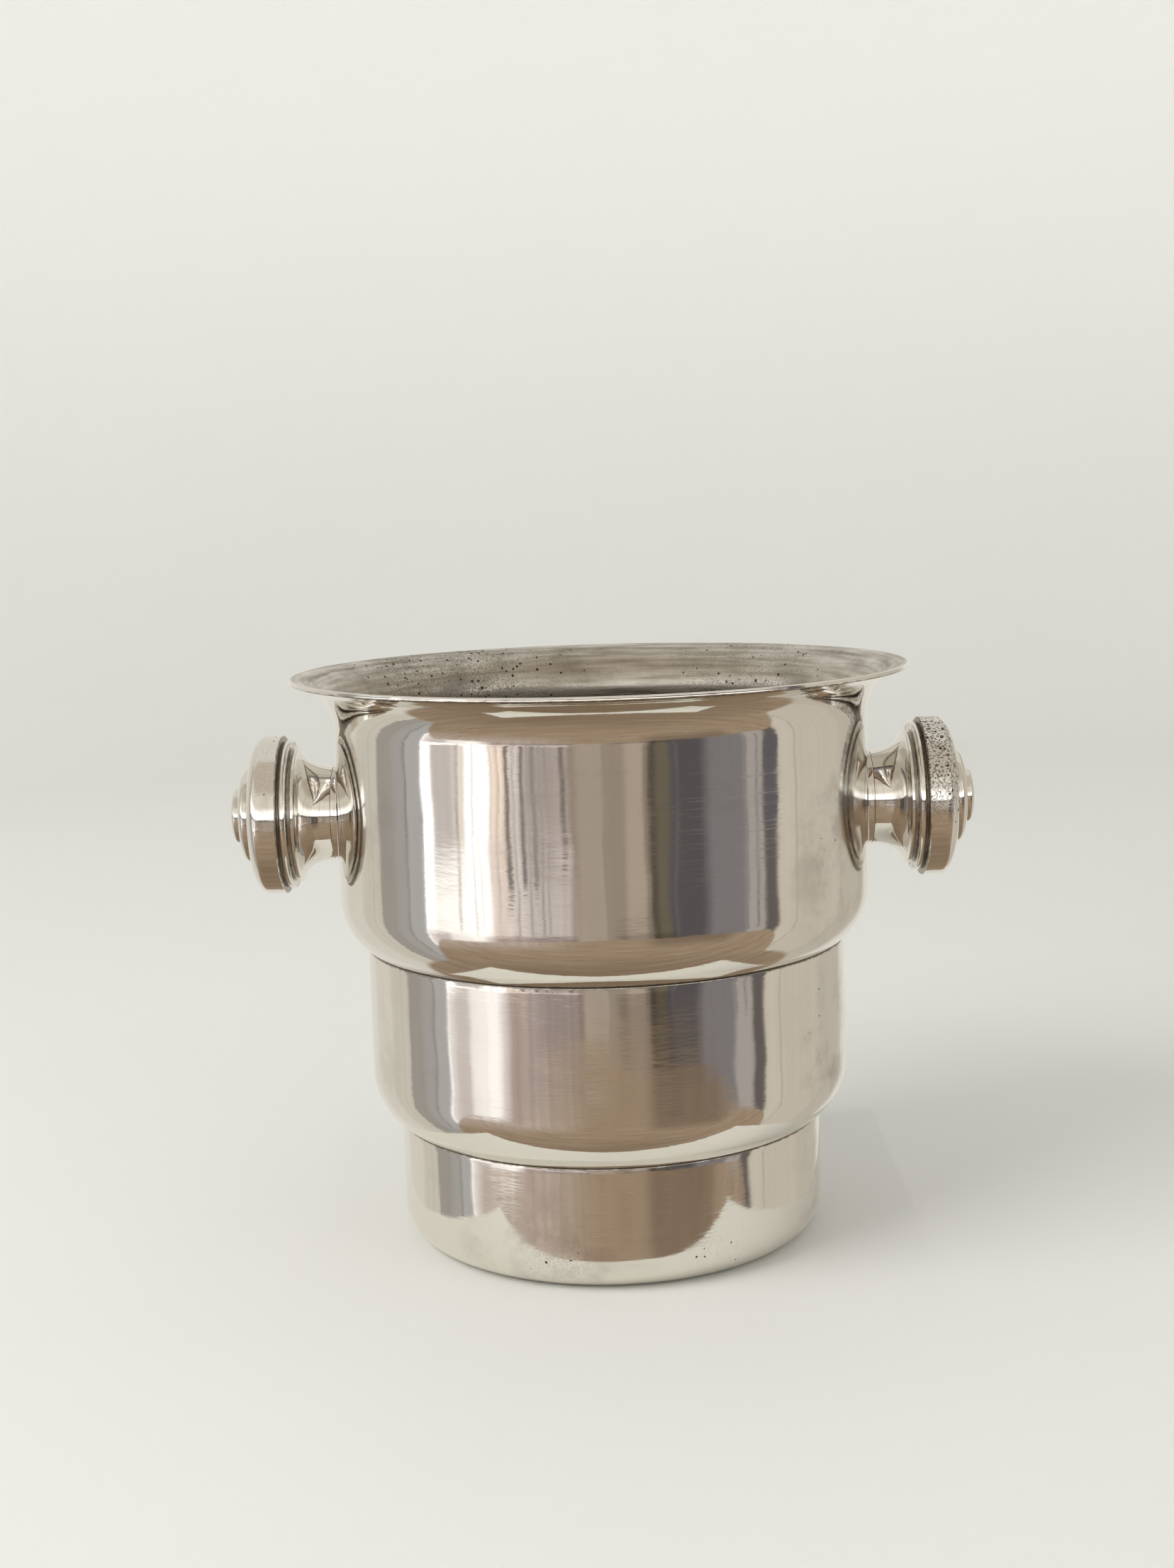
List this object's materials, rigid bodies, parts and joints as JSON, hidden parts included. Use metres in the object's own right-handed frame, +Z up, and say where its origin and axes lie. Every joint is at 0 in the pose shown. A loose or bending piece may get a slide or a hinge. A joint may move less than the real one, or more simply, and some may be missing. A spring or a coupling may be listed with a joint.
{
  "type": "champagne bucket",
  "caption": "Three-tier silver-plated champagne bucket with a flared rim and turned knob handles on opposite sides.",
  "frame": {"origin": "centre of the resting face, on the bucket's own axis", "axes": "+Z up along the bucket's axis, handles along -X and +X, the side seen from the front faces -Y"},
  "size_m": [0.251, 0.206, 0.1925],
  "materials": {
    "silver_plate": "polished silver plate, worn, with fine scratches and tarnish in the seams",
    "handle_silver": "polished silver plate with tarnished grooves and pitting",
    "brass_fixing": "plain turned brass, dulled"
  },
  "bodies": {
    "root": {"upper_tier": "silver_plate", "middle_tier": "silver_plate", "lower_tier": "silver_plate", "left_handle_foot": "handle_silver", "left_handle_neck": "handle_silver", "left_handle_bead_ring": "handle_silver", "left_handle_drum": "handle_silver", "left_handle_step_disc": "handle_silver", "left_handle_button": "handle_silver", "left_handle_stud": "brass_fixing", "left_handle_saddle_washer": "brass_fixing", "left_handle_nut": "brass_fixing", "right_handle_foot": "handle_silver", "right_handle_neck": "handle_silver", "right_handle_bead_ring": "handle_silver", "right_handle_drum": "handle_silver", "right_handle_step_disc": "handle_silver", "right_handle_button": "handle_silver", "right_handle_stud": "brass_fixing", "right_handle_saddle_washer": "brass_fixing", "right_handle_nut": "brass_fixing"}
  },
  "joints": []
}
